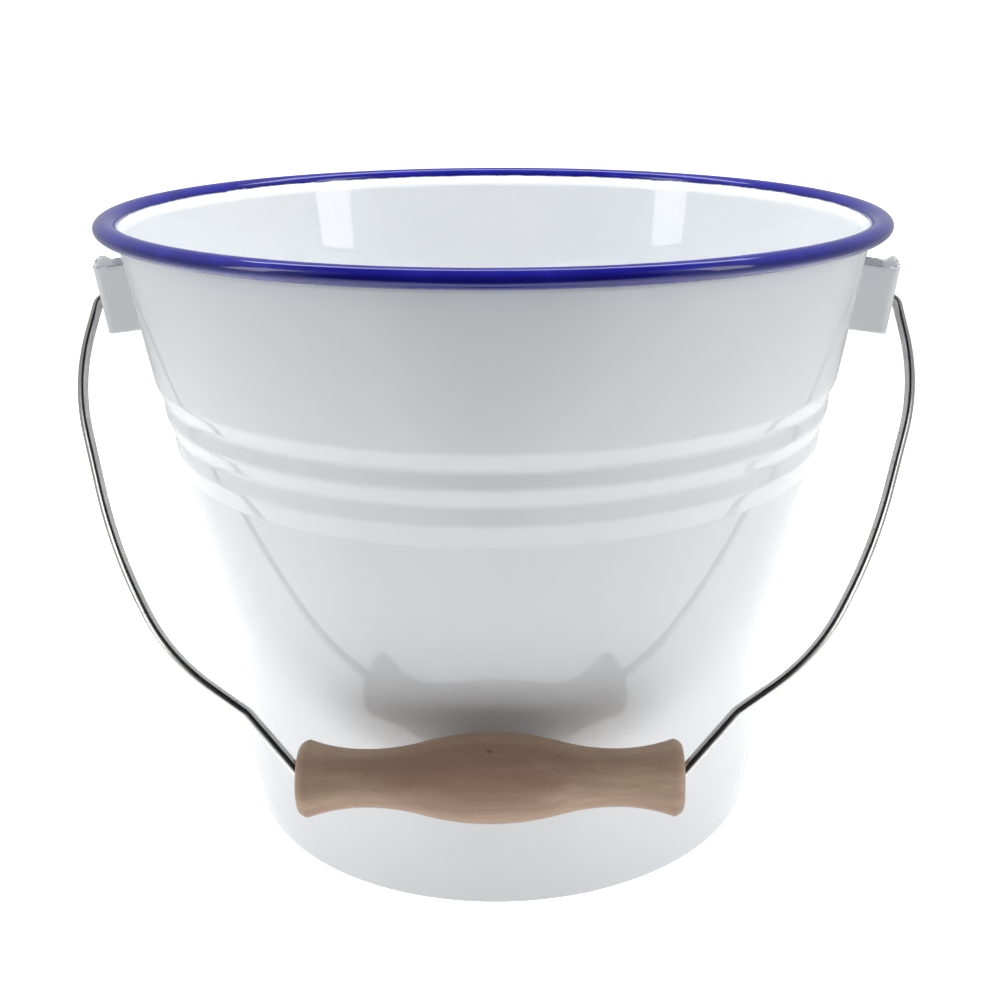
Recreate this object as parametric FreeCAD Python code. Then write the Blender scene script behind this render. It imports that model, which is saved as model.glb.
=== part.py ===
import FreeCAD, Part
import math
import os

from FreeCAD import Vector

# An enamelled steel pail with a swinging wire bail and a turned wooden grip.
# Millimetres. +Z is up and the origin is the centre of the base. The ears are
# at -X (left) and +X (right), and at rest the bail hangs down the front, at -Y.

# --- sheet body -------------------------------------------------------------
RIM_DIAMETER = 285.6
PAIL_HEIGHT = 232.4
SHEET = 1.0               # steel with the enamel on both faces
BEAD_WIDTH = 7.9          # rolled rim, an oval of four arcs
BEAD_HEIGHT = 6.1
BEAD_END_RADIUS = 2.35    # the oval's two tight arcs, outside
CURL_SWEEP = 298.0        # degrees of rolling, until the edge is close to the wall
RIM_WIRE_DIAMETER = 3.75
UPPER_TAPER = 0.160       # growth of the radius with height, above the ribs
LOWER_TAPER = 0.134       # the same below the ribs
BASE_RADIUS = 100.8       # where the lower wall's line meets the floor
BASE_CORNER = 1.6
FOOT_WIDTH = 9.5          # flat ring that the pail stands on
PANEL_RECESS = 2.0        # the middle of the base is this far off the floor
PANEL_STEP = 2.5          # how far in the step to the panel reaches
PANEL_BEND = 2.5
RIB_BEND = 9.0

# Three pressed ribs step the wall out: height and radius where each step
# starts and ends, from the lowest up. The top one runs on into the upper wall.
RIB_STEPS = [
    (143.2, 120.0, 150.7, 122.0),
    (157.3, 122.5, 163.0, 124.5),
    (169.3, 124.85, 175.2, None),
]

# --- ears -------------------------------------------------------------------
HINGE_HEIGHT = 198.2
EAR_REACH = 147.1         # outer face of the ear at hinge height
EAR_TILT = 7.8            # degrees, leaning out with the wall
EAR_WIDTH = 22.0
EAR_HEIGHT = 25.0
EAR_SHEET = 1.3
EAR_FOLD = 3.2            # outside radius of the two folds
EAR_CREST = 2.8           # the outer leaf's rounded top stands this much higher
EAR_HOLE_DIAMETER = 5.6

# --- bail -------------------------------------------------------------------
BAIL_WIRE_DIAMETER = 3.75
BAIL_REACH = 182.0        # hinge line to the grip's axis
TAIL_OFFSET = 141.0       # the wire's end, turned up inside each ear
TAIL_LENGTH = 8.2

# Half of the bail, from the ear to the grip: distance from the middle, distance
# from the hinge line, and bend radius at each corner.
BAIL_CORNERS = [
    (150.0, 0.0, 4.2),
    (153.7, 36.9, 99.0),
    (131.45, 102.7, 228.0),
    (108.4, 141.35, 83.5),
    (80.5, 160.45, 9.0),
    (60.5, BAIL_REACH, 6.5),
]
TAIL_BEND = 4.0

# --- grip -------------------------------------------------------------------
GRIP_LENGTH = 123.4
GRIP_RADIUS = 14.6        # at the swell in the middle
WAIST_RADIUS = 9.3
WAIST_OFFSET = 40.5       # from the middle of the grip
SWELL_CURVE = 85.0        # profile radius of the swell
FLARE_CURVE = 55.0        # profile radius from a waist out to its end
END_ROUNDING = 3.0
BORE_DIAMETER = 4.6
MOUTH_DIAMETER = 10.0
MOUTH_DEPTH = 4.8
REST_GAP = 0.3            # grip to wall when the bail hangs at rest

Z_AXIS = Vector(0, 0, 1)
FULL_TURN = 360
OVERCUT = 20.0            # how far a cutting tool runs past what it cuts


def section_point(radius, height):
    return Vector(radius, 0, height)


def rounded_path(corners, bends):
    """Edges along the corners, each inner corner rounded to its bend radius."""
    edges = []
    start = corners[0]
    for before, corner, after, bend in zip(corners, corners[1:], corners[2:], bends):
        way_in = (corner - before).normalize()
        way_out = (after - corner).normalize()
        half_turn = way_in.getAngle(way_out) / 2
        setback = bend * math.tan(half_turn)
        inward = (way_out - way_in).normalize()
        arc_start = corner - way_in * setback
        arc_middle = corner + inward * (bend / math.cos(half_turn) - bend)
        arc_end = corner + way_out * setback
        edges.append(Part.makeLine(start, arc_start))
        edges.append(Part.Arc(arc_start, arc_middle, arc_end).toShape())
        start = arc_end
    edges.append(Part.makeLine(start, corners[-1]))
    return edges


def left_of(start, end):
    """Unit normal on the left of a run in the XZ plane."""
    run = (end - start).normalize()
    return Vector(-run.z, 0, run.x)


def offset_path(corners, bends, distance):
    """The parallel path on the left, in the XZ plane, and its bend radii."""
    normals = [left_of(a, b) for a, b in zip(corners, corners[1:])]
    moved = [corners[0] + normals[0] * distance]
    moved_bends = []
    for corner, before, after, bend in zip(corners[1:], normals, normals[1:], bends):
        bisector = before + after
        moved.append(corner + bisector * (2 * distance / bisector.dot(bisector)))
        left_turn = before.x * after.z - before.z * after.x < 0
        moved_bends.append(bend - distance if left_turn else bend + distance)
    moved.append(corners[-1] + normals[-1] * distance)
    return moved, moved_bends


def thick_section(corners, bends, thickness):
    """Face of a sheet whose one side is the path and the other is on its left."""
    inner, inner_bends = offset_path(corners, bends, thickness)
    edges = rounded_path(corners, bends) + rounded_path(inner, inner_bends)
    edges.append(Part.makeLine(corners[0], inner[0]))
    edges.append(Part.makeLine(corners[-1], inner[-1]))
    return Part.Face(Part.Wire(Part.__sortEdges__(edges)))


def revolve(face):
    return face.revolve(Vector(0, 0, 0), Z_AXIS, FULL_TURN)


# --- the rim's place and the wall's outer lines ------------------------------
UPPER_SLOPE = math.atan(UPPER_TAPER)
LOWER_SLOPE = math.atan(LOWER_TAPER)
BEAD_CENTRE = section_point((RIM_DIAMETER - BEAD_WIDTH) / 2, PAIL_HEIGHT - BEAD_HEIGHT / 2)

# The oval's arcs: two tight ones, each this far out from the middle, and two flat
# ones over and under, whose centres lie across the middle from them.
END_SHIFT = BEAD_WIDTH / 2 - BEAD_END_RADIUS
CROWN_RADIUS = (END_SHIFT ** 2 + BEAD_HEIGHT ** 2 / 4 - BEAD_END_RADIUS ** 2) / (
    BEAD_HEIGHT - 2 * BEAD_END_RADIUS
)
CROWN_SHIFT = CROWN_RADIUS - BEAD_HEIGHT / 2
END_ANGLE = math.degrees(math.atan2(CROWN_SHIFT, END_SHIFT))

CURL_START = 180 - math.degrees(UPPER_SLOPE)
CURL_END = CURL_START - CURL_SWEEP


def bead_point(inset, angle):
    """Point of the bead, moved in by the inset, that faces an angle from straight out."""
    out = math.cos(math.radians(angle))
    up = math.sin(math.radians(angle))
    if abs(up) * END_SHIFT <= abs(out) * CROWN_SHIFT:
        arc_centre = section_point(math.copysign(END_SHIFT, out), 0)
        radius = BEAD_END_RADIUS - inset
    else:
        arc_centre = section_point(0, -math.copysign(CROWN_SHIFT, up))
        radius = CROWN_RADIUS - inset
    return BEAD_CENTRE + arc_centre + section_point(radius * out, radius * up)


def upper_wall_radius(height):
    """Outer radius of the wall between the ribs and the rim."""
    top = bead_point(SHEET, CURL_START)
    return top.x + UPPER_TAPER * (height - top.z)


def pail_shell():
    """One drawn sheet: base, foot ring, corner, tapered wall and its ribs."""
    foot_inside = BASE_RADIUS - FOOT_WIDTH
    corners = [
        section_point(0, PANEL_RECESS),
        section_point(foot_inside - PANEL_STEP, PANEL_RECESS),
        section_point(foot_inside, 0),
        section_point(BASE_RADIUS, 0),
    ]
    bends = [PANEL_BEND, PANEL_BEND, BASE_CORNER]
    for low, low_radius, high, high_radius in RIB_STEPS:
        corners.append(section_point(low_radius, low))
        corners.append(section_point(high_radius or upper_wall_radius(high), high))
        bends += [RIB_BEND, RIB_BEND]
    corners.append(bead_point(SHEET, CURL_START))
    return revolve(thick_section(corners, bends, SHEET))


def rim_bead():
    """The wall's edge, rolled outwards over the rim wire."""
    turns = [CURL_START, 180 - END_ANGLE, END_ANGLE, -END_ANGLE, CURL_END]
    edges = []
    for inset in (0, SHEET):
        for start, end in zip(turns, turns[1:]):
            along = (start, (start + end) / 2, end)
            edges.append(Part.Arc(*[bead_point(inset, a) for a in along]).toShape())
    for end in (CURL_START, CURL_END):
        edges.append(Part.makeLine(bead_point(0, end), bead_point(SHEET, end)))
    return revolve(Part.Face(Part.Wire(Part.__sortEdges__(edges))))


def rim_wire():
    centre = Vector(0, 0, BEAD_CENTRE.z)
    return Part.makeTorus(BEAD_CENTRE.x, RIM_WIRE_DIAMETER / 2, centre)


def ear_right():
    """Folded box ear: an outer leaf with two cheeks that run back to the wall."""
    half_width = EAR_WIDTH / 2
    depth = EAR_REACH - upper_wall_radius(HINGE_HEIGHT) + OVERCUT
    # The fold is drawn flat in the XZ plane, then stood up on the wall's slope.
    corners = [
        Vector(-depth, 0, -half_width),
        Vector(0, 0, -half_width),
        Vector(0, 0, half_width),
        Vector(-depth, 0, half_width),
    ]
    fold = thick_section(corners, [EAR_FOLD, EAR_FOLD], EAR_SHEET)
    fold.rotate(Vector(0, 0, 0), Vector(1, 0, 0), -90)
    low = -EAR_HEIGHT / 2
    fold.translate(Vector(0, 0, low))
    ear = fold.extrude(Z_AXIS * EAR_HEIGHT)

    leaf_top = fold.copy()
    leaf_top.translate(Vector(0, 0, EAR_HEIGHT))
    leaf_top = leaf_top.extrude(Z_AXIS * EAR_CREST)
    half_leaf = half_width - EAR_SHEET
    top = EAR_HEIGHT / 2
    crest_line = Part.Arc(
        Vector(0, -half_leaf, top),
        Vector(0, 0, top + EAR_CREST),
        Vector(0, half_leaf, top),
    ).toShape()
    chord = Part.makeLine(Vector(0, half_leaf, top), Vector(0, -half_leaf, top))
    crest = Part.Face(Part.Wire([crest_line, chord])).extrude(Vector(-EAR_SHEET, 0, 0))
    ear = ear.fuse(leaf_top.common(crest)).removeSplitter()

    ear.rotate(Vector(0, 0, 0), Vector(0, 1, 0), EAR_TILT)
    ear.translate(Vector(EAR_REACH, 0, HINGE_HEIGHT))
    hole_start = Vector(EAR_REACH - OVERCUT / 2, 0, HINGE_HEIGHT)
    hole = Part.makeCylinder(EAR_HOLE_DIAMETER / 2, OVERCUT, hole_start, Vector(1, 0, 0))
    wall_low = HINGE_HEIGHT - EAR_HEIGHT
    wall_high = HINGE_HEIGHT + EAR_HEIGHT
    wall = Part.makeCone(
        upper_wall_radius(wall_low),
        upper_wall_radius(wall_high),
        wall_high - wall_low,
        Vector(0, 0, wall_low),
    )
    return ear.cut(hole).cut(wall)


def ear_left():
    return ear_right().mirror(Vector(0, 0, 0), Vector(1, 0, 0))


def rest_angle():
    """Angle of the bail from straight down when its grip lies on the wall."""
    wall_distance = BASE_RADIUS * math.cos(LOWER_SLOPE) + HINGE_HEIGHT * math.sin(LOWER_SLOPE)
    grip_distance = wall_distance + GRIP_RADIUS + REST_GAP
    return math.asin(grip_distance / BAIL_REACH) - LOWER_SLOPE


REST_ANGLE = rest_angle()


def on_bail(across, down):
    """Point of the hanging bail's plane, down from the hinge line."""
    return Vector(
        across,
        -down * math.sin(REST_ANGLE),
        HINGE_HEIGHT - down * math.cos(REST_ANGLE),
    )


def bail_wire():
    """One bent wire: tail, ear, side bow, shoulder, grip and back again."""
    half = [(TAIL_OFFSET, -TAIL_LENGTH, 0), (TAIL_OFFSET, 0, TAIL_BEND)] + BAIL_CORNERS
    whole = half + [(-across, down, bend) for across, down, bend in reversed(half)]
    corners = [on_bail(across, down) for across, down, bend in whole]
    bends = [bend for across, down, bend in whole[1:-1]]
    path = Part.Wire(rounded_path(corners, bends))
    heading = corners[1] - corners[0]
    round_end = Part.makeCircle(BAIL_WIRE_DIAMETER / 2, corners[0], heading)
    wire = path.makePipeShell([Part.Wire(round_end)], True, False)
    section = math.pi * BAIL_WIRE_DIAMETER ** 2 / 4
    print("bail wire volume / section times length:", wire.Volume / (section * path.Length))
    return Part.Solid(wire) if wire.ShapeType == "Shell" else wire


def grip_outline():
    """Upper edge of the grip, end to end, in its own XZ plane along X."""
    half_length = GRIP_LENGTH / 2
    drop = GRIP_RADIUS - WAIST_RADIUS
    centres_apart = (WAIST_OFFSET ** 2 + drop ** 2) / (2 * drop)
    waist_curve = centres_apart - SWELL_CURVE
    meeting = WAIST_OFFSET * SWELL_CURVE / centres_apart

    def swell(x):
        return GRIP_RADIUS - SWELL_CURVE + math.sqrt(SWELL_CURVE ** 2 - x ** 2)

    def waist(x):
        reach = x - WAIST_OFFSET
        return WAIST_RADIUS + waist_curve - math.sqrt(waist_curve ** 2 - reach ** 2)

    def flare(x):
        reach = x - WAIST_OFFSET
        return WAIST_RADIUS + FLARE_CURVE - math.sqrt(FLARE_CURVE ** 2 - reach ** 2)

    def arc(curve, start, end, side):
        along = (start, (start + end) / 2, end)
        return Part.Arc(*[section_point(side * x, curve(x)) for x in along]).toShape()

    edges = [arc(swell, -meeting, meeting, 1)]
    for side in (-1, 1):
        edges.append(arc(waist, meeting, WAIST_OFFSET, side))
        edges.append(arc(flare, WAIST_OFFSET, half_length, side))
        rim = section_point(side * half_length, flare(half_length))
        edges.append(Part.makeLine(rim, section_point(side * half_length, 0)))
    left_centre = section_point(-half_length, 0)
    edges.append(Part.makeLine(left_centre, section_point(half_length, 0)))
    return Part.Face(Part.Wire(Part.__sortEdges__(edges)))


def grip():
    """Turned wooden grip, bored for the wire, with a countersunk mouth each end."""
    along = Vector(1, 0, 0)
    body = grip_outline().revolve(Vector(0, 0, 0), along, FULL_TURN)
    half_length = GRIP_LENGTH / 2
    end_edges = []
    for edge in body.Edges:
        box = edge.BoundBox
        if box.XLength < 0.01 and abs(abs(box.XMin) - half_length) < 0.01:
            end_edges.append(edge)
    body = body.makeFillet(END_ROUNDING, end_edges)
    bore = Part.makeCylinder(
        BORE_DIAMETER / 2, GRIP_LENGTH, Vector(-half_length, 0, 0), along
    )
    body = body.cut(bore)
    for side in (-1, 1):
        mouth = Part.makeCone(
            MOUTH_DIAMETER / 2,
            BORE_DIAMETER / 2,
            MOUTH_DEPTH,
            Vector(side * half_length, 0, 0),
            Vector(-side, 0, 0),
        )
        body = body.cut(mouth)
    body.translate(on_bail(0, BAIL_REACH))
    return body


PIECES = {
    "pail_shell": pail_shell,
    "rim_bead": rim_bead,
    "rim_wire": rim_wire,
    "ear_left": ear_left,
    "ear_right": ear_right,
    "bail_wire": bail_wire,
    "grip": grip,
}


def single_solid(shape):
    """The one solid of a piece, however the last operation wrapped it."""
    if len(shape.Solids) != 1:
        raise ValueError(f"expected one solid, found {len(shape.Solids)}")
    return shape.Solids[0]


os.makedirs("parts", exist_ok=True)
for name, make in PIECES.items():
    solid = single_solid(make())
    if not solid.isValid():
        raise ValueError(name + " is not a valid solid")
    solid.exportStep("parts/" + name + ".step")
    box = solid.optimalBoundingBox(False)
    print(
        f"{name:11s} {solid.Volume / 1000:8.2f} cm3"
        f"  x {box.XMin:8.2f} {box.XMax:8.2f}"
        f"  y {box.YMin:8.2f} {box.YMax:8.2f}"
        f"  z {box.ZMin:8.2f} {box.ZMax:8.2f}"
    )

grip_axis = on_bail(0, BAIL_REACH)
print(f"bail at rest {math.degrees(REST_ANGLE):.3f} degrees from straight down")
print(f"bail swings {360 - 2 * math.degrees(REST_ANGLE):.3f} degrees to the back wall")
print(f"grip axis at y {grip_axis.y:.3f} z {grip_axis.z:.3f}")
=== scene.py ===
import math

import bmesh
import bpy
from mathutils import Matrix, Vector, noise


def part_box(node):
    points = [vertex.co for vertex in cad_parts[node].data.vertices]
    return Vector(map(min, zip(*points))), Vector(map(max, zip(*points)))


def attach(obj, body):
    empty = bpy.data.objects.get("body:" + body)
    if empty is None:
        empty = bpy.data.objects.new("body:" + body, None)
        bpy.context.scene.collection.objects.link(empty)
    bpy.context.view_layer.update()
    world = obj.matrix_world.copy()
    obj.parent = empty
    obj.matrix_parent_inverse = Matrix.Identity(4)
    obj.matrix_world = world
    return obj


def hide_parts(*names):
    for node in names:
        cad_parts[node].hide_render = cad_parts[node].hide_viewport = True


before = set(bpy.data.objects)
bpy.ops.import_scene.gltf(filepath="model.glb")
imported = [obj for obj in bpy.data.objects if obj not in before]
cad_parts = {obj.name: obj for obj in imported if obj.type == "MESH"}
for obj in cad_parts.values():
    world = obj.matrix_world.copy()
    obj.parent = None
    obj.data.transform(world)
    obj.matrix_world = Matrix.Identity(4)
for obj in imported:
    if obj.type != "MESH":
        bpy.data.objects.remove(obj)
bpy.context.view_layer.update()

# A white enamelled pail with a blue rolled rim, two box ears, a wire bail and a
# turned wooden grip, standing on a pale floor. Metres. +Z is up, the ears are at
# -X and +X, and the bail hangs down the front, at -Y.
MM = 0.001

# --- the pail's sizes, as the CAD has them -----------------------------------------
RIM_RADIUS = 142.8 * MM
PAIL_HEIGHT = 232.4 * MM
SHEET = 1.0 * MM
BEAD_WIDTH = 7.9 * MM
BEAD_HEIGHT = 6.1 * MM
BEAD_END_RADIUS = 2.35 * MM
CURL_SWEEP = math.radians(298.0)
UPPER_TAPER = 0.160
BASE_RADIUS = 100.8 * MM
BASE_CORNER = 1.6 * MM
FOOT_WIDTH = 9.5 * MM
PANEL_RECESS = 2.0 * MM
PANEL_STEP = 2.5 * MM
PANEL_BEND = 2.5 * MM
RIB_BEND = 9.0 * MM
# Each rib's step outwards, in mm: height and radius below it, height and radius above.
RIB_STEPS = [
    (143.2, 120.0, 150.7, 122.0),
    (157.3, 122.5, 163.0, 124.5),
    (169.3, 124.85, 175.2, None),
]

HINGE_HEIGHT = 198.2 * MM
EAR_REACH = 147.1 * MM
EAR_TILT = math.radians(7.8)
EAR_WIDTH = 22.0 * MM
EAR_HEIGHT = 25.0 * MM
EAR_SHEET = 1.3 * MM
EAR_FOLD = 3.2 * MM
EAR_CREST = 2.8 * MM
EAR_HOLE_RADIUS = 2.8 * MM

WIRE_RADIUS = 3.75 * MM / 2
BAIL_REACH = 182.0 * MM
TAIL_OFFSET = 141.0 * MM
TAIL_LENGTH = 8.2 * MM
TAIL_BEND = 4.0 * MM
# The bail's corners, in mm: out from the middle, down from the hinge, bend radius.
BAIL_CORNERS = [
    (150.0, 0.0, 4.2),
    (153.7, 36.9, 99.0),
    (131.45, 102.7, 228.0),
    (108.4, 141.35, 83.5),
    (80.5, 160.45, 9.0),
    (60.5, 182.0, 6.5),
]

GRIP_LENGTH = 123.4 * MM
GRIP_RADIUS = 14.6 * MM
WAIST_RADIUS = 9.3 * MM
WAIST_OFFSET = 40.5 * MM
SWELL_CURVE = 85.0 * MM
FLARE_CURVE = 55.0 * MM
END_ROUNDING = 3.0 * MM
BORE_RADIUS = 2.3 * MM
MOUTH_RADIUS = 5.0 * MM
MOUTH_DEPTH = 4.8 * MM

# --- looks --------------------------------------------------------------------------
BLUE_COAT = 0.12 * MM         # the blue enamel's step above the white, inside the rim
BLUE_EDGE_WAVER = 0.55 * MM   # how far its lower edge strays
RIM_MARGIN = 0.02 * MM        # keeps the finely cut rim inside the coarser CAD one
BODY_TURNS = 360              # steps round the pail
RIM_TURNS = 540               # steps round its rim
WIRE_SIDES = 28
ROW_HEIGHT = 6.0 * MM         # longest straight step up the wall
OUT_OF_ROUND = 0.18 * MM      # the drawn sheet's slow dents
WELD_FLARE = 1.2 * MM         # the enamel's fillet where an ear meets the wall
EAR_BURIED = 0.45 * MM        # how far an ear's edge runs into the wall
GRIP_TURNS = 144              # steps round the grip

# The camera stands a little to the right of the front and looks down into the pail.
CAMERA_DISTANCE = 504.67 * MM
CAMERA_AROUND = math.radians(2.0)
CAMERA_HEIGHT = 293.94 * MM
CAMERA_HEADING = math.radians(0.596)
CAMERA_PITCH = math.radians(19.352)
CAMERA_ROLL = math.radians(0.141)
CAMERA_LENS = 48.39
CAMERA_SENSOR = 36.0
CAMERA_SHIFT = -0.0591

# The studio: metres, watts and degrees.
FLOOR_REACH = 6.0
FLOOR_GLOW_NEAR = 0.68        # what the floor gives back beside the pail
FLOOR_GLOW_FAR = 0.12         # and further out
FLOOR_GLOW_FROM = 0.20        # where its glow starts to fall
FLOOR_GLOW_TO = 0.75          # and where it stops falling
ROOM_STRENGTH = 0.48          # the room as the pail is lit by it
BACKDROP_STRENGTH = 1.05      # the backdrop as the camera sees it
TOP_POWER, TOP_SPREAD = 2.3, 60
SIDE_POWER = 4.2
FILL_POWER = 1.4


# --- geometry helpers ---------------------------------------------------------------
def rounded_points(corners, bends, arc_steps=8, longest=None):
    """Points along the corners, with each inner corner rounded to its bend."""
    points = [corners[0].copy()]
    for before, corner, after, bend in zip(corners, corners[1:], corners[2:], bends):
        way_in = (corner - before).normalized()
        way_out = (after - corner).normalized()
        half_turn = way_in.angle(way_out) / 2
        inward = (way_out - way_in).normalized()
        forward = (way_out + way_in).normalized()
        centre = corner + inward * (bend / math.cos(half_turn))
        for step in range(arc_steps + 1):
            turn = half_turn * (2 * step / arc_steps - 1)
            points.append(centre + (forward * math.sin(turn) - inward * math.cos(turn)) * bend)
    points.append(corners[-1].copy())
    if not longest:
        return points
    filled = [points[0]]
    for point in points[1:]:
        start = filled[-1]
        count = max(1, math.ceil((point - start).length / longest))
        filled += [start.lerp(point, i / count) for i in range(1, count + 1)]
    return filled


def offset_corners(corners, bends, distance):
    """The parallel path on the left of a flat (across, up) path, and its bends."""
    normals = []
    for start, end in zip(corners, corners[1:]):
        normals.append(Vector((start.y - end.y, end.x - start.x)).normalized())
    moved = [corners[0] + normals[0] * distance]
    moved_bends = []
    for corner, before, after, bend in zip(corners[1:], normals, normals[1:], bends):
        bisector = before + after
        moved.append(corner + bisector * (2 * distance / bisector.dot(bisector)))
        left_turn = before.x * after.y - before.y * after.x > 0
        moved_bends.append(max(0.4 * MM, bend - distance if left_turn else bend + distance))
    moved.append(corners[-1] + normals[-1] * distance)
    return moved, moved_bends


def new_piece(name, verts, faces, uvs=None):
    """A smooth-shaded mesh object; uvs, if given, is one (u, v) list per face."""
    mesh = bpy.data.meshes.new(name)
    mesh.from_pydata(verts, [], faces)
    if uvs:
        layer = mesh.uv_layers.new(name="along_and_round")
        layer.data.foreach_set("uv", [c for face in uvs for uv in face for c in uv])
    mesh.validate()
    mesh.polygons.foreach_set("use_smooth", [True] * len(mesh.polygons))
    obj = bpy.data.objects.new(name, mesh)
    bpy.context.scene.collection.objects.link(obj)
    return obj


def handed_in(obj, body, node):
    """Puts a piece under its body's empty, so that it moves with that body, and hides the CAD
    node it stands for.
    """
    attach(obj, body)
    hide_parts(node)
    return obj


def lathe(name, outline, turns, place, closed):
    """Turns (radius, along) points; place(radius, along, angle, index) gives each vertex."""
    verts = []
    rings = []
    for index, (radius, along) in enumerate(outline):
        if radius < 1e-9:
            rings.append([len(verts)] * turns)
            verts.append(place(0.0, along, 0.0, index))
            continue
        rings.append(list(range(len(verts), len(verts) + turns)))
        for step in range(turns):
            verts.append(place(radius, along, 2 * math.pi * step / turns, index))
    pairs = list(zip(rings, rings[1:]))
    if closed:
        pairs.append((rings[-1], rings[0]))
    faces = []
    for low, high in pairs:
        for step in range(turns):
            following = (step + 1) % turns
            face = [low[step], low[following], high[following], high[step]]
            faces.append([v for i, v in enumerate(face) if v != face[i - 1]])
    return new_piece(name, verts, faces)


def sweep_rings(rings):
    """Quads between rings of vertex numbers, with both ends closed."""
    faces = []
    for ring, following in zip(rings, rings[1:]):
        for i, vertex in enumerate(ring):
            j = (i + 1) % len(ring)
            faces.append([vertex, ring[j], following[j], following[i]])
    return faces + [rings[0][::-1], rings[-1]]


def dented(radius, height, angle, index=0):
    """A point round the pail, on sheet that is slowly uneven, always inwards."""
    spot = Vector((radius * math.cos(angle), radius * math.sin(angle), height))
    wave = noise.noise(Vector((spot.x, spot.y, spot.z * 0.6)) * 11.0)
    small = noise.noise(spot * 31.0 + Vector((7.1, 3.3, 1.9)))
    fade = min(1.0, radius / BASE_RADIUS)
    radius -= OUT_OF_ROUND * (0.5 + 0.42 * wave + 0.12 * small) * fade
    return Vector((radius * math.cos(angle), radius * math.sin(angle), height))


# --- the pail's outlines --------------------------------------------------------------
# The bead is an oval of four arcs: a wide one above and below, a small one at each end.
BEAD_CENTRE = Vector((RIM_RADIUS - BEAD_WIDTH / 2, PAIL_HEIGHT - BEAD_HEIGHT / 2))
END_SHIFT = BEAD_WIDTH / 2 - BEAD_END_RADIUS
HALF_HEIGHT = BEAD_HEIGHT / 2
CROWN_RADIUS = (END_SHIFT**2 + HALF_HEIGHT**2 - BEAD_END_RADIUS**2) / (
    2 * (HALF_HEIGHT - BEAD_END_RADIUS)
)
CROWN_SHIFT = CROWN_RADIUS - HALF_HEIGHT
CURL_START = math.pi - math.atan(UPPER_TAPER)


def bead_point(inset, angle):
    """The point of the bead, moved in by inset, that faces an angle from straight out."""
    out, up = math.cos(angle), math.sin(angle)
    if abs(up) * END_SHIFT <= abs(out) * CROWN_SHIFT:
        centre = Vector((math.copysign(END_SHIFT, out), 0))
        radius = BEAD_END_RADIUS - inset
    else:
        centre = Vector((0, -math.copysign(CROWN_SHIFT, up)))
        radius = CROWN_RADIUS - inset
    return BEAD_CENTRE + centre + Vector((out, up)) * radius


WALL_TOP = bead_point(SHEET, CURL_START)


def upper_wall_radius(height):
    return WALL_TOP.x + UPPER_TAPER * (height - WALL_TOP.y)


def wall_corners():
    """Corners and bends of the outside of the sheet, from the axis to the rim."""
    foot_inside = BASE_RADIUS - FOOT_WIDTH
    corners = [
        Vector((0, PANEL_RECESS)),
        Vector((foot_inside - PANEL_STEP, PANEL_RECESS)),
        Vector((foot_inside, 0)),
        Vector((BASE_RADIUS, 0)),
    ]
    bends = [PANEL_BEND, PANEL_BEND, BASE_CORNER]
    for low, low_radius, high, high_radius in RIB_STEPS:
        top_radius = high_radius * MM if high_radius else upper_wall_radius(high * MM)
        corners += [Vector((low_radius, low)) * MM, Vector((top_radius, high * MM))]
        bends += [RIB_BEND, RIB_BEND]
    corners.append(WALL_TOP)
    return corners, bends


def make_pail_shell():
    corners, bends = wall_corners()
    outside = rounded_points(corners, bends, longest=ROW_HEIGHT)
    inner_corners, inner_bends = offset_corners(corners, bends, SHEET)
    inside = rounded_points(inner_corners, inner_bends, longest=ROW_HEIGHT)
    shell = lathe("enamelled_body", outside + inside[::-1], BODY_TURNS, dented, closed=False)
    return handed_in(shell, "pail", "pail_shell")


def blue_edge(angle):
    """How far down inside the wall the blue enamel runs at an angle."""
    spot = Vector((math.cos(angle), math.sin(angle), 0))
    slow = noise.noise(spot * 3.1)
    quick = noise.noise(spot * 19.0 + Vector((0, 0, 4.0)))
    fine = noise.noise(spot * 70.0 + Vector((0, 0, 9.0)))
    return BLUE_EDGE_WAVER * (1.0 + 0.5 * slow + 0.7 * quick + 0.5 * fine)


def make_rim_bead():
    """The rolled rim with its blue enamel, whose inner edge strays down the wall."""
    skirt_steps = 4
    curl_steps = 40
    coat_end = 6
    turns = [CURL_START - CURL_SWEEP * i / curl_steps for i in range(curl_steps + 1)]
    outer = []
    for i, angle in enumerate(turns):
        # The coat thins out before the top, so the rim keeps to its size there.
        coat = BLUE_COAT * max(0.0, 1 - i / coat_end)
        outer.append(bead_point(RIM_MARGIN - coat, angle))
    inner = [bead_point(SHEET, angle) for angle in reversed(turns)]
    down_wall = Vector((-UPPER_TAPER, -1)).normalized()
    outline = [outer[0]] * skirt_steps + outer + inner

    def place(radius, along, angle, index):
        if index < skirt_steps:
            fall = blue_edge(angle) * (1 - index / skirt_steps)
            radius += down_wall.x * fall + (BLUE_COAT * 1.6 if index == 0 else 0.0)
            along += down_wall.y * fall
        return dented(radius, along, angle)

    bead = lathe("rolled_rim", [(p.x, p.y) for p in outline], RIM_TURNS, place, closed=True)
    return handed_in(bead, "pail", "rim_bead")


# --- ears -----------------------------------------------------------------------------
def on_ear(depth, across, up):
    """The right ear's own (out, across, up) as a point of the row."""
    return Vector((
        EAR_REACH + depth * math.cos(EAR_TILT) + up * math.sin(EAR_TILT),
        across,
        HINGE_HEIGHT - depth * math.sin(EAR_TILT) + up * math.cos(EAR_TILT),
    ))


def depth_of_wall(across, up):
    """How deep in the ear's own direction the pail's wall is met."""
    depth = -12 * MM
    for _ in range(12):
        point = on_ear(depth, across, up)
        depth -= math.hypot(point.x, point.y) - upper_wall_radius(point.z)
    return depth


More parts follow.
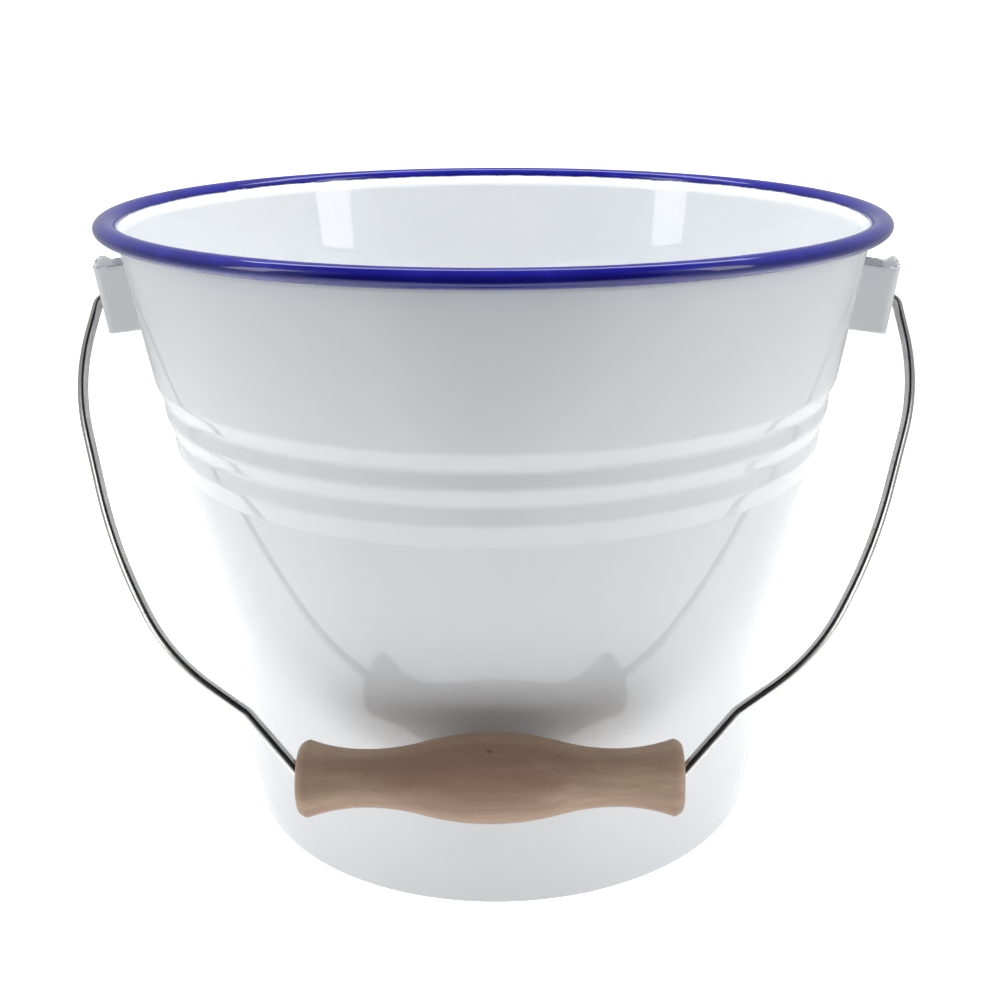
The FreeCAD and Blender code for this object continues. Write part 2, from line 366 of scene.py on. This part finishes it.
def ear_section(low, top):
    """Outline of the sheet as (from its middle, up), its upper and lower edges rounded."""
    half_sheet = EAR_SHEET / 2
    rise_steps = 24
    cap_steps = 8
    rise = []
    for i in range(rise_steps + 1):
        rise.append(low + half_sheet + (top - low - EAR_SHEET) * i / rise_steps)
    section = [(-half_sheet, up) for up in rise]
    for i in range(1, cap_steps):
        turn = math.pi * i / cap_steps
        across = -math.cos(turn) * half_sheet
        section.append((across, top - half_sheet + math.sin(turn) * half_sheet))
    section += [(half_sheet, up) for up in reversed(rise)]
    for i in range(1, cap_steps):
        turn = math.pi * i / cap_steps
        across = math.cos(turn) * half_sheet
        section.append((across, low + half_sheet - math.sin(turn) * half_sheet))
    return section


def make_ear(name, node, side):
    """A folded sheet with rounded edges and a hole, flared into the wall by its enamel."""
    half_sheet = EAR_SHEET / 2
    middle = EAR_WIDTH / 2 - half_sheet
    back = -22 * MM
    corners = [
        Vector((back, -middle)),
        Vector((-half_sheet, -middle)),
        Vector((-half_sheet, middle)),
        Vector((back, middle)),
    ]
    fold = EAR_FOLD - half_sheet
    path = rounded_points(corners, [fold, fold], arc_steps=10, longest=0.8 * MM)
    verts = []
    rings = []
    bare = []
    for index, point in enumerate(path):
        run = (path[min(len(path) - 1, index + 1)] - path[max(0, index - 1)]).normalized()
        normal = Vector((run.y, -run.x))
        share = max(0.0, 1 - (point.y / (EAR_WIDTH / 2 - EAR_SHEET)) ** 2)
        top = EAR_HEIGHT / 2 + (EAR_CREST * share if point.x > -EAR_FOLD else 0.0)
        ring = []
        for away, up in ear_section(-EAR_HEIGHT / 2, top):
            met = depth_of_wall(point.y, up)
            depth = point.x + normal.x * away
            near = min(WELD_FLARE, max(0.0, depth - met))
            grow = WELD_FLARE - math.sqrt(WELD_FLARE**2 - (WELD_FLARE - near) ** 2)
            across = point.y + normal.y * (away + math.copysign(grow, away))
            spot = on_ear(max(depth, met - EAR_BURIED), across, up)
            ring.append(len(verts))
            verts.append(Vector((spot.x * side, spot.y, spot.z)))
            bare.append(max(0.0, 1 - (top - up) / (0.55 * EAR_SHEET)))
        rings.append(ring)
    ear = new_piece(name, verts, sweep_rings(rings))
    layer = ear.data.attributes.new("bare_edge", "FLOAT", "POINT")
    layer.data.foreach_set("value", bare)
    cut_hole(ear, side)
    return handed_in(ear, "pail", node)


def cut_hole(ear, side):
    """Cuts the hinge hole through the ear's outer leaf."""
    steps = 48
    half_punch = 4 * MM
    rings = []
    verts = []
    for x in (EAR_REACH - half_punch, EAR_REACH + half_punch):
        rings.append(list(range(len(verts), len(verts) + steps)))
        for step in range(steps):
            turn = 2 * math.pi * step / steps
            y, z = EAR_HOLE_RADIUS * math.cos(turn), EAR_HOLE_RADIUS * math.sin(turn)
            verts.append(Vector((x * side, y, HINGE_HEIGHT + z)))
    punch = new_piece("punch", verts, sweep_rings(rings))
    for obj in (ear, punch):
        tidy = bmesh_of(obj)
        bmesh.ops.recalc_face_normals(tidy, faces=tidy.faces)
        tidy.to_mesh(obj.data)
        tidy.free()
    cut = ear.modifiers.new("hole", "BOOLEAN")
    cut.operation = "DIFFERENCE"
    cut.solver = "EXACT"
    cut.object = punch
    depsgraph = bpy.context.evaluated_depsgraph_get()
    mesh = bpy.data.meshes.new_from_object(ear.evaluated_get(depsgraph))
    ear.modifiers.clear()
    ear.data = mesh
    ear.data.set_sharp_from_angle(angle=math.radians(50))
    bpy.data.objects.remove(punch)


def bmesh_of(obj):
    tidy = bmesh.new()
    tidy.from_mesh(obj.data)
    return tidy


# --- bail -----------------------------------------------------------------------------
# The hanging bail's angle from straight down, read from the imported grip.
REST_ANGLE = math.asin(-(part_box("grip")[0].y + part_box("grip")[1].y) / 2 / BAIL_REACH)


def on_bail(across, down):
    return Vector(
        (across, -down * math.sin(REST_ANGLE), HINGE_HEIGHT - down * math.cos(REST_ANGLE))
    )


def make_bail():
    """One bent wire with rounded ends; its UVs run along the wire and round it."""
    half = [(TAIL_OFFSET, -TAIL_LENGTH, 0), (TAIL_OFFSET, 0, TAIL_BEND)]
    half += [(across * MM, down * MM, bend * MM) for across, down, bend in BAIL_CORNERS]
    whole = half + [(-across, down, bend) for across, down, bend in reversed(half)]
    corners = [on_bail(across, down) for across, down, _ in whole]
    bends = [bend for _, _, bend in whole[1:-1]]
    line = rounded_points(corners, bends, arc_steps=14, longest=2.5 * MM)
    # Both tail ends are rounded off: (way in from the end, loss of radius), tip first.
    rounding = 0.5 * MM
    cap_steps = 5
    cap = []
    for i in range(cap_steps, -1, -1):
        turn = math.pi / 2 * i / cap_steps
        cap.append((rounding * (1 - math.sin(turn)), rounding * (1 - math.cos(turn))))
    first_way = (line[1] - line[0]).normalized()
    last_way = (line[-2] - line[-1]).normalized()
    rows = [(line[0] + first_way * inward, WIRE_RADIUS - less) for inward, less in cap]
    rows += [(point, WIRE_RADIUS) for point in line[1:-1]]
    for inward, less in reversed(cap):
        rows.append((line[-1] + last_way * inward, WIRE_RADIUS - less))
    plane_normal = Vector((0, math.cos(REST_ANGLE), -math.sin(REST_ANGLE)))
    verts = []
    rings = []
    lengths = [0.0]
    for index, (point, radius) in enumerate(rows):
        before = rows[max(0, index - 1)][0]
        after = rows[min(len(rows) - 1, index + 1)][0]
        side = (after - before).normalized().cross(plane_normal)
        if index:
            lengths.append(lengths[-1] + (point - before).length)
        rings.append(list(range(len(verts), len(verts) + WIRE_SIDES)))
        for step in range(WIRE_SIDES):
            turn = 2 * math.pi * step / WIRE_SIDES
            away = plane_normal * math.cos(turn) + side * math.sin(turn)
            verts.append(point + away * radius)
    uvs = []
    for u0, u1 in zip(lengths, lengths[1:]):
        for step in range(WIRE_SIDES):
            v0, v1 = step / WIRE_SIDES, (step + 1) / WIRE_SIDES
            uvs.append([(u0, v0), (u0, v1), (u1, v1), (u1, v0)])
    uvs += [[(0.0, 0.5)] * WIRE_SIDES, [(lengths[-1], 0.5)] * WIRE_SIDES]
    bail = new_piece("bent_wire_bail", verts, sweep_rings(rings), uvs)
    return handed_in(bail, "bail", "bail_wire")


# --- grip -----------------------------------------------------------------------------
def grip_outline():
    """Outside of the turned grip from end to end, and its two mouths down to the bore."""
    half_length = GRIP_LENGTH / 2
    drop = GRIP_RADIUS - WAIST_RADIUS
    centres_apart = (WAIST_OFFSET**2 + drop**2) / (2 * drop)
    waist_curve = centres_apart - SWELL_CURVE
    meeting = WAIST_OFFSET * SWELL_CURVE / centres_apart

    def radius_at(x):
        x = abs(x)
        if x < meeting:
            return GRIP_RADIUS - SWELL_CURVE + math.sqrt(SWELL_CURVE**2 - x**2)
        curve = waist_curve if x < WAIST_OFFSET else FLARE_CURVE
        return WAIST_RADIUS + curve - math.sqrt(curve**2 - (x - WAIST_OFFSET) ** 2)

    steps = 110
    last = half_length - END_ROUNDING
    outside = []
    for i in range(steps + 1):
        x = last * (2 * i / steps - 1)
        outside.append(Vector((radius_at(x), x)))
    corner_steps = 9
    corner_start = math.radians(20)
    corner_centre = radius_at(last) - END_ROUNDING * 0.93
    bulge = (radius_at(last) - corner_centre) / math.cos(corner_start)
    right = []
    for i in range(1, corner_steps + 1):
        turn = corner_start + (math.pi / 2 - corner_start) * i / corner_steps
        forward = (math.sin(turn) - math.sin(corner_start)) / (1 - math.sin(corner_start))
        corner = Vector((corner_centre + bulge * math.cos(turn), last + END_ROUNDING * forward))
        right.append(corner)
    face_steps = 5
    top = right[-1].x
    for i in range(1, face_steps + 1):
        right.append(Vector((top + (MOUTH_RADIUS - top) * i / face_steps, half_length)))
    right += [
        Vector((MOUTH_RADIUS - 0.35 * MM, half_length - 0.2 * MM)),
        Vector((MOUTH_RADIUS - 0.6 * MM, half_length - 0.6 * MM)),
        Vector((BORE_RADIUS, half_length - MOUTH_DEPTH)),
    ]
    left = [Vector((p.x, -p.y)) for p in reversed(right)]
    return left + outside + right


def make_grip():
    def place(radius, along, angle, index):
        point = Vector((along, radius * math.cos(angle), radius * math.sin(angle)))
        uneven = 1 - 0.006 * (0.5 + 0.5 * noise.noise(point * 60.0))
        return Vector((along, point.y * uneven, point.z * uneven))

    outline = [(p.x, p.y) for p in grip_outline()]
    grip = lathe("turned_wooden_grip", outline, GRIP_TURNS, place, closed=True)
    grip.location = on_bail(0, BAIL_REACH)
    return handed_in(grip, "grip", "grip")


# --- materials ------------------------------------------------------------------------
class Nodes:
    """Short calls for building one material's node tree."""

    def __init__(self, name):
        self.material = bpy.data.materials.new(name)
        self.material.use_nodes = True
        self.tree = self.material.node_tree
        self.shader = self.tree.nodes["Principled BSDF"]

    def put(self, socket, value):
        """Links an output to a socket, or sets the socket to a plain value."""
        if isinstance(value, bpy.types.NodeSocket):
            self.tree.links.new(value, socket)
        elif isinstance(value, tuple) and len(value) == 3 and socket.type == "RGBA":
            socket.default_value = (*value, 1)
        else:
            socket.default_value = value

    def add(self, kind, inputs=None, **settings):
        node = self.tree.nodes.new("ShaderNode" + kind)
        for key, value in settings.items():
            setattr(node, key, value)
        for key, value in (inputs or {}).items():
            self.put(node.inputs[key], value)
        return node

    def shade(self, **values):
        """Sets the shader's inputs, such as Base_Color, to outputs or plain values."""
        for name, value in values.items():
            self.put(self.shader.inputs[name.replace("_", " ")], value)

    def ramp(self, factor, *stops):
        """A colour ramp from (position, colour or grey) stops."""
        node = self.add("ValToRGB", {"Fac": factor})
        elements = node.color_ramp.elements
        while len(elements) < len(stops):
            elements.new(0.5)
        for element, (position, colour) in zip(elements, stops):
            element.position = position
            element.color = (*colour, 1) if isinstance(colour, tuple) else (colour,) * 3 + (1,)
        return node.outputs["Color"]

    def mix(self, factor, first, second):
        node = self.add("Mix", {0: factor, 6: first, 7: second}, data_type="RGBA")
        return node.outputs[2]

    def math(self, operation, first, second=0.0):
        return self.add("Math", {0: first, 1: second}, operation=operation).outputs[0]

    def noise(self, where, scale, detail=3.0, roughness=0.5):
        inputs = {"Vector": where, "Scale": scale, "Detail": detail, "Roughness": roughness}
        return self.add("TexNoise", inputs).outputs["Fac"]

    def stretched(self, where, scale):
        return self.add("Mapping", {"Vector": where, "Scale": scale}).outputs["Vector"]

    def moved(self, where, offset):
        return self.add("Mapping", {"Vector": where, "Location": offset}).outputs["Vector"]

    def length(self, vector):
        return self.add("VectorMath", {0: vector}, operation="LENGTH").outputs["Value"]

    def bump(self, height, distance, strength, below=None):
        inputs = {"Height": height, "Distance": distance, "Strength": strength}
        if below:
            inputs["Normal"] = below
        return self.add("Bump", inputs).outputs["Normal"]

    def object_space(self):
        return self.add("TexCoord").outputs["Object"]


def white_enamel():
    """Glassy white coat with slight flow and orange peel; worn to dark steel on bare edges."""
    n = Nodes("white_enamel")
    where = n.object_space()
    tone = n.noise(where, 14.0, 2.0)
    colour = n.ramp(tone, (0.3, (0.725, 0.748, 0.770)), (0.7, (0.745, 0.763, 0.780)))
    bare = n.add("Attribute", attribute_name="bare_edge").outputs["Fac"]
    patchy = n.ramp(n.noise(where, 900.0, 3.0), (0.35, 0.25), (0.6, 1.0))
    worn = n.math("MULTIPLY", bare, patchy)
    colour = n.mix(worn, colour, (0.10, 0.10, 0.10))
    rough = n.ramp(n.noise(where, 40.0, 4.0), (0.35, 0.02), (0.75, 0.04))
    flow = n.bump(n.noise(where, 26.0, 1.0), 0.0011, 0.08)
    peel = n.bump(n.noise(where, 260.0, 2.0), 0.0002, 0.04, flow)
    n.shade(Base_Color=colour, Roughness=rough, Normal=peel, IOR=1.52)
    return n.material


def blue_enamel():
    """Deep blue glass over white, a little thinner and paler where it ran."""
    n = Nodes("blue_enamel")
    where = n.object_space()
    thin = n.noise(where, 60.0, 4.0, 0.6)
    deep, middle, pale = (0.007, 0.007, 0.150), (0.011, 0.011, 0.205), (0.026, 0.024, 0.300)
    colour = n.ramp(thin, (0.30, deep), (0.62, middle), (0.80, pale))
    rough = n.ramp(n.noise(where, 90.0, 3.0), (0.3, 0.05), (0.8, 0.11))
    flow = n.bump(n.noise(where, 120.0, 2.0), 0.0006, 0.15)
    fine = n.bump(n.noise(where, 600.0, 2.0), 0.0001, 0.10, flow)
    n.shade(Base_Color=colour, Roughness=rough, Normal=fine, IOR=1.52)
    return n.material


def steel_wire():
    """Bright drawn wire: fine lines along it, dulled and slightly stained in places."""
    n = Nodes("steel_wire")
    along = n.add("UVMap", uv_map="along_and_round").outputs["UV"]
    where = n.object_space()
    lines = n.noise(n.stretched(along, (14.0, 42.0, 1.0)), 1.0, 4.0, 0.65)
    stain = n.noise(where, 70.0, 4.0, 0.6)
    colour = n.ramp(stain, (0.35, (0.50, 0.495, 0.475)), (0.65, (0.62, 0.615, 0.59)))
    spots = n.ramp(n.noise(where, 420.0, 2.0), (0.68, 0.0), (0.74, 0.55))
    colour = n.mix(spots, colour, (0.20, 0.17, 0.14))
    rough = n.ramp(lines, (0.3, 0.13), (0.75, 0.26))
    drawn = n.bump(lines, 0.0001, 0.35)
    n.shade(Base_Color=colour, Roughness=rough, Normal=drawn, Metallic=1.0)
    return n.material


def turned_wood():
    """Pale close-grained hardwood with soft reddish figure and one small knot."""
    n = Nodes("turned_wood")
    where = n.object_space()
    # Long soft streaks run with the grain, and are bent a little by slow noise.
    streak = n.noise(n.stretched(where, (7.0, 85.0, 85.0)), 1.0, 3.0, 0.55)
    dark, middle, light = (0.255, 0.160, 0.108), (0.370, 0.255, 0.172), (0.495, 0.365, 0.258)
    colour = n.ramp(streak, (0.30, dark), (0.50, middle), (0.70, light))
    fine = n.noise(n.stretched(where, (22.0, 420.0, 420.0)), 1.0, 3.0, 0.6)
    colour = n.mix(n.ramp(fine, (0.40, 0.0), (0.70, 0.45)), colour, (0.290, 0.180, 0.135))
    # A redder patch of heartwood lies round the middle.
    heart_place = n.moved(where, (0.003, 0.0115, -0.0065))
    heart_far = n.length(n.stretched(heart_place, (30.0, 60.0, 100.0)))
    wobble = n.noise(n.stretched(where, (40.0, 160.0, 160.0)), 1.0, 3.0)
    heart_edge = n.math("SUBTRACT", heart_far, n.math("MULTIPLY", wobble, 0.9))
    heart = n.ramp(heart_edge, (0.10, 0.50), (0.85, 0.0))
    colour = n.mix(heart, colour, (0.250, 0.125, 0.088))
    fleck = n.noise(n.stretched(where, (160.0, 1700.0, 1700.0)), 1.0, 3.0, 0.6)
    colour = n.mix(n.ramp(fleck, (0.56, 0.0), (0.72, 0.35)), colour, (0.17, 0.10, 0.07))
    # One dark knot, 2 mm across, lies on the grip's upper front.
    knot_place = n.moved(where, (0.0003, 0.0060, -0.0129))
    knot_far = n.length(n.stretched(knot_place, (0.75, 1.0, 1.0)))
    knot = n.ramp(n.math("MULTIPLY", knot_far, 1 / MM), (0.2, 0.9), (1.0, 0.0))
    colour = n.mix(knot, colour, (0.105, 0.040, 0.032))
    rough = n.ramp(fleck, (0.3, 0.42), (0.7, 0.58))
    grain = n.bump(fleck, 0.0002, 0.30)
    rings = n.noise(n.stretched(where, (900.0, 90.0, 90.0)), 1.0, 2.0)
    turned = n.bump(rings, 0.00015, 0.10, grain)
    n.shade(Base_Color=colour, Roughness=rough, Normal=turned, IOR=1.45)
    return n.material


def paint(obj, material):
    obj.data.materials.clear()
    obj.data.materials.append(material)


# --- surroundings ---------------------------------------------------------------------
def level_sheet(half_width, near, far, height):
    """Corners of a level sheet; near and far are along Y."""
    return [
        (-half_width, near, height),
        (half_width, near, height),
        (half_width, far, height),
        (-half_width, far, height),
    ]


def stage_sheet(name, corners, material):
    """A one-face sheet of the surroundings, which is no part of the pail."""
    mesh = bpy.data.meshes.new(name)
    mesh.from_pydata(corners, [], [list(range(len(corners)))])
    sheet = bpy.data.objects.new(name, mesh)
    bpy.context.scene.collection.objects.link(sheet)
    paint(sheet, material)
    return sheet


def make_floor():
    """A wide pale floor, plain white to the camera; its glow falls off round the pail."""
    n = Nodes("pale_floor")
    seen = n.add("LightPath").outputs["Is Camera Ray"]
    bounce = n.add("MapRange", {
        "Value": n.length(n.object_space()),
        "From Min": FLOOR_GLOW_FROM,
        "From Max": FLOOR_GLOW_TO,
        "To Min": FLOOR_GLOW_NEAR,
        "To Max": FLOOR_GLOW_FAR,
    })
    glow = n.math("ADD", seen, bounce.outputs["Result"])
    n.shade(Base_Color=(0.84, 0.84, 0.84), Roughness=0.6)
    n.shade(Emission_Color=(1.0, 1.0, 1.0), Emission_Strength=glow)
    # From below the floor is clear, so that the underside can be looked at.
    from_below = n.add("NewGeometry").outputs["Backfacing"]
    n.shade(Alpha=n.math("SUBTRACT", 1.0, from_below))
    stage_sheet("floor", level_sheet(FLOOR_REACH, -FLOOR_REACH, FLOOR_REACH, 0), n.material)


def shade_material(name, axis, clear, full, slant=0.0):
    """Near black, from clear to full along -|X| or along -Y; slant adds |X| to Y."""
    n = Nodes(name)
    n.shade(Base_Color=(0.02, 0.02, 0.025), Roughness=1.0, Specular_IOR_Level=0.0)
    where = n.add("SeparateXYZ", {"Vector": n.object_space()})
    sideways = n.math("ABSOLUTE", where.outputs["X"])
    run = sideways
    if axis == "Y":
        run = n.math("ADD", where.outputs["Y"], n.math("MULTIPLY", sideways, slant))
    amount = n.math("MULTIPLY", run, -1.0)
    span = n.add("MapRange", {"Value": amount, "From Min": clear, "From Max": full})
    n.shade(Alpha=span.outputs["Result"])
    return n.material


def mirror_only(obj):
    """Leaves a stage piece to mirror-like reflections alone."""
    obj.visible_camera = False
    obj.visible_diffuse = False
    obj.visible_shadow = False


def make_far_shade():
    """The unlit floor towards the camera, which only mirror-like surfaces pick up."""
    material = shade_material("far_shade", "Y", clear=0.27, full=0.44, slant=0.55)
    corners = level_sheet(half_width=1.6, near=-2.5, far=-0.2, height=0.002)
    mirror_only(stage_sheet("far_shade", corners, material))


def make_ceiling_shade():
    """The unlit ceiling over the front half, in reflections only."""
    material = shade_material("ceiling_shade", "X", clear=-0.95, full=-0.60)
    corners = level_sheet(half_width=1.1, near=-1.6, far=0.35, height=1.4)
    mirror_only(stage_sheet("ceiling_shade", corners, material))


def make_high_strip():
    """A bright strip high behind the pail, which draws a line along the rim's top."""
    n = Nodes("high_strip")
    n.shade(Base_Color=(0.8, 0.8, 0.8), Emission_Color=(1.0, 1.0, 1.0), Emission_Strength=5.0)
    corners = level_sheet(half_width=0.75, near=0.50, far=0.74, height=1.3)
    mirror_only(stage_sheet("high_strip", corners, n.material))


def make_dark_cards():
    """Dark cards before and behind the pail; only the front one shows in reflections."""
    material = shade_material("dark_card", "X", clear=-0.90, full=-0.62)
    half, height = 0.95, 1.40
    for name, y in (("front_card", -0.75), ("back_card", 0.75)):
        corners = [(-half, y, 0.0), (half, y, 0.0), (half, y, height), (-half, y, height)]
        card = stage_sheet(name, corners, material)
        card.visible_camera = False
        card.visible_glossy = y < 0


def make_world():
    world = bpy.data.worlds.new("studio")
    bpy.context.scene.world = world
    world.use_nodes = True
    nodes = world.node_tree.nodes
    nodes["Background"].inputs["Color"].default_value = (0.985, 0.99, 1.0, 1)
    # The camera sees a white backdrop; the pail is lit by a dimmer room.
    strength = nodes.new("ShaderNodeMapRange")
    strength.inputs["To Min"].default_value = ROOM_STRENGTH
    strength.inputs["To Max"].default_value = BACKDROP_STRENGTH
    seen = nodes.new("ShaderNodeLightPath").outputs["Is Camera Ray"]
    links = world.node_tree.links
    links.new(seen, strength.inputs["Value"])
    links.new(strength.outputs["Result"], nodes["Background"].inputs["Strength"])


def soft_box(name, place, target, size, power, mirrored, spread=180):
    """An area light; mirrored says whether the pail's surfaces reflect its shape."""
    light = bpy.data.lights.new(name, "AREA")
    light.shape = "RECTANGLE"
    light.size, light.size_y = size
    light.energy = power
    light.spread = math.radians(spread)
    obj = bpy.data.objects.new(name, light)
    obj.location = place
    obj.rotation_euler = (Vector(target) - Vector(place)).to_track_quat("-Z", "Y").to_euler()
    obj.visible_camera = False
    obj.visible_glossy = mirrored
    bpy.context.scene.collection.objects.link(obj)


def make_lights():
    """A narrow one from above for the inside, and a tall and a wide one on each side."""
    above = (0, 0.06, 1.1)
    soft_box("top_box", above, (0, 0, 0.1), (0.45, 0.45), TOP_POWER, False, TOP_SPREAD)
    for side in (-1, 1):
        tall_place, wide_place = (side * 1.30, -0.62, 0.75), (side * 1.40, 0.10, 0.55)
        soft_box("side_box", tall_place, (0, 0, 0.15), (0.35, 1.1), SIDE_POWER, True)
        soft_box("side_fill", wide_place, (0, 0, 0.12), (0.9, 0.9), FILL_POWER, False)


def make_camera():
    heading, pitch, roll = CAMERA_HEADING, CAMERA_PITCH, CAMERA_ROLL
    level = Vector((math.cos(heading), -math.sin(heading), 0))
    flat = Vector((math.sin(heading), math.cos(heading), 0))
    ahead = flat * math.cos(pitch) - Vector((0, 0, math.sin(pitch)))
    above = level.cross(ahead)
    right = level * math.cos(roll) + above * math.sin(roll)
    top = above * math.cos(roll) - level * math.sin(roll)
    camera = bpy.data.cameras.new("camera")
    camera.lens = CAMERA_LENS
    camera.sensor_width = CAMERA_SENSOR
    camera.shift_x = CAMERA_SHIFT
    camera.clip_start = 0.01
    obj = bpy.data.objects.new("camera", camera)
    stand = Vector((math.sin(CAMERA_AROUND), -math.cos(CAMERA_AROUND), 0)) * CAMERA_DISTANCE
    stand.z = CAMERA_HEIGHT
    turn = Matrix((right, top, -ahead)).transposed()
    obj.matrix_world = Matrix.Translation(stand) @ turn.to_4x4()
    bpy.context.scene.collection.objects.link(obj)
    bpy.context.scene.camera = obj


# --- build ----------------------------------------------------------------------------
make_camera()
white = white_enamel()
blue = blue_enamel()
steel = steel_wire()
wood = turned_wood()

paint(make_pail_shell(), white)
paint(make_rim_bead(), blue)
paint(make_ear("folded_ear_left", "ear_left", -1), white)
paint(make_ear("folded_ear_right", "ear_right", 1), white)
paint(make_bail(), steel)
paint(make_grip(), wood)
paint(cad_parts["rim_wire"], steel)

make_floor()
make_far_shade()
make_ceiling_shade()
make_high_strip()
make_dark_cards()
make_world()
make_lights()
bpy.context.scene.view_settings.view_transform = "Standard"
